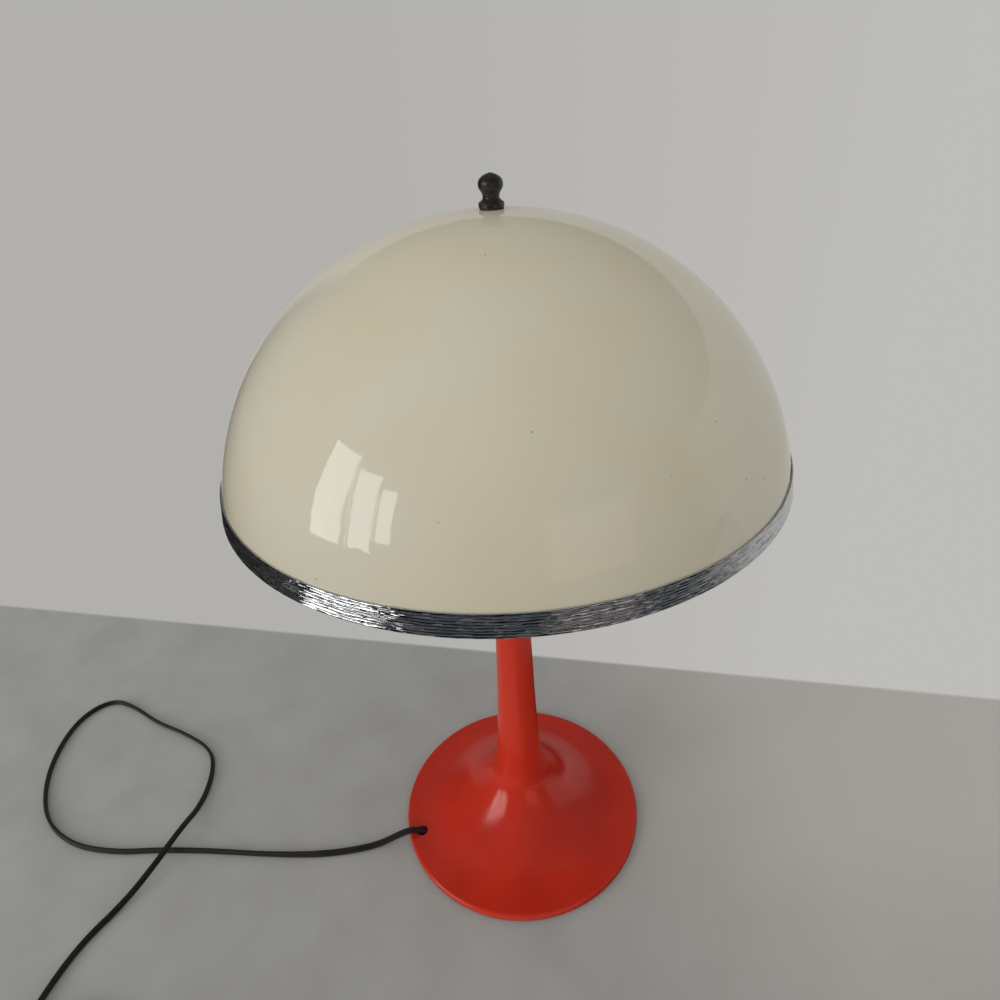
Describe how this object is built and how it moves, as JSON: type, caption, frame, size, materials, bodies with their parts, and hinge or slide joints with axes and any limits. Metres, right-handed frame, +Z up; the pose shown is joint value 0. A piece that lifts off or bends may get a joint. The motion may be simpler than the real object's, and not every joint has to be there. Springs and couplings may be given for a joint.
{
  "type": "mushroom table lamp",
  "caption": "Table lamp with a trumpet base, one bulb holder, and a domed shade with a reeded chrome rim held on a wire harp by a ball finial",
  "frame": {"origin": "on the table under the middle of the base", "axes": "+Z up along the stem; the cord leaves the base towards -X; +Y away from the viewer"},
  "size_m": [0.6544, 0.4195, 0.5285],
  "materials": {
    "red_enamel": "semi-gloss orange-red enamel over spun steel",
    "cast_weight": "rough cast",
    "felt": "pressed felt",
    "fibreboard": "hard fibreboard",
    "zinc_steel": "zinc plated",
    "polished_brass": "lacquered brass",
    "brass_plate": "brass plated steel",
    "black_rubber": "moulded rubber",
    "pressed_paper": "pressed paper sleeve",
    "black_phenolic": "moulded phenolic",
    "solder": "solder dot",
    "black_glass": "fused black glass",
    "bulb_aluminium": "pressed aluminium",
    "frosted_glass": "white inside coat",
    "tungsten": "drawn wire",
    "ivory_acrylic": "glossy moulded acrylic, opal ivory",
    "chrome_trim": "bright chrome, reeded",
    "black_gloss": "black enamel",
    "cord_vinyl": "dark brown vinyl",
    "plug_vinyl": "moulded vinyl"
  },
  "bodies": {
    "base": {"base_shell": "red_enamel", "base_weight": "cast_weight", "base_felt": "felt", "base_board": "fibreboard", "threaded_pipe": "zinc_steel", "pipe_nut": "zinc_steel", "pipe_washer": "zinc_steel", "neck_cap": "polished_brass", "harp_saddle": "brass_plate", "holder_cap": "polished_brass", "holder_shell": "polished_brass", "holder_liner": "pressed_paper", "holder_core": "black_phenolic", "terminal_screws": "polished_brass", "holder_thread": "polished_brass", "centre_contact": "polished_brass", "inner_lead": "cord_vinyl", "cord": "cord_vinyl", "cord_coil": "cord_vinyl", "cord_tail": "cord_vinyl", "plug_relief": "plug_vinyl", "plug_body": "plug_vinyl", "plug_blades": "polished_brass"},
    "harp": {"harp_wire": "brass_plate", "harp_plate": "brass_plate", "harp_stud": "brass_plate", "seat_washer": "black_rubber"},
    "left_sleeve": {"harp_sleeve_left": "polished_brass"},
    "right_sleeve": {"harp_sleeve_right": "polished_brass"},
    "shade": {"shade_dome": "ivory_acrylic", "shade_trim": "chrome_trim"},
    "finial_washer": {"top_washer": "black_rubber"},
    "finial": {"finial_knob": "black_gloss", "finial_bush": "polished_brass"},
    "bulb_tip": {"bulb_contact": "solder"},
    "bulb": {"bulb_insulator": "black_glass", "bulb_cap": "bulb_aluminium", "bulb_glass": "frosted_glass", "bulb_filament": "tungsten"},
    "key": {"key_shaft": "polished_brass", "key_knob": "black_phenolic"}
  },
  "joints": [
    {"name": "harp_lift", "type": "slide", "parent": "base", "child": "harp", "axis": [0, 0, 1], "range_m": [0, 0.03]},
    {"name": "left_sleeve_slide", "type": "slide", "parent": "harp", "child": "left_sleeve", "axis": [0, 0, 1], "range_m": [0, 0.014]},
    {"name": "right_sleeve_slide", "type": "slide", "parent": "harp", "child": "right_sleeve", "axis": [0, 0, 1], "range_m": [0, 0.014]},
    {"name": "shade_lift", "type": "slide", "parent": "harp", "child": "shade", "axis": [0, 0, 1], "range_m": [0, 0.2]},
    {"name": "finial_rise", "type": "slide", "parent": "shade", "child": "finial_washer", "axis": [0, 0, 1], "range_m": [0, 0.00846]},
    {"name": "finial_turn", "type": "hinge", "parent": "finial_washer", "child": "finial", "pos_m": [0, 0, 0.52], "axis": [0, 0, 1], "range_deg": [0, 3245]},
    {"name": "bulb_rise", "type": "slide", "parent": "base", "child": "bulb_tip", "axis": [0, 0, 1], "range_m": [0, 0.0183]},
    {"name": "bulb_turn", "type": "hinge", "parent": "bulb_tip", "child": "bulb", "pos_m": [0, 0, 0.38], "axis": [0, 0, 1], "range_deg": [0, 1800]},
    {"name": "key_turn", "type": "hinge", "parent": "base", "child": "key", "pos_m": [0, -0.02, 0.3456], "axis": [0, -1, 0], "continuous": true}
  ],
  "couplings": [
    {"joint": "finial_turn", "follows": "finial_rise", "rad_per_m": 6684.2},
    {"joint": "bulb_rise", "follows": "bulb_turn", "m_per_rad": 0.00057773}
  ]
}
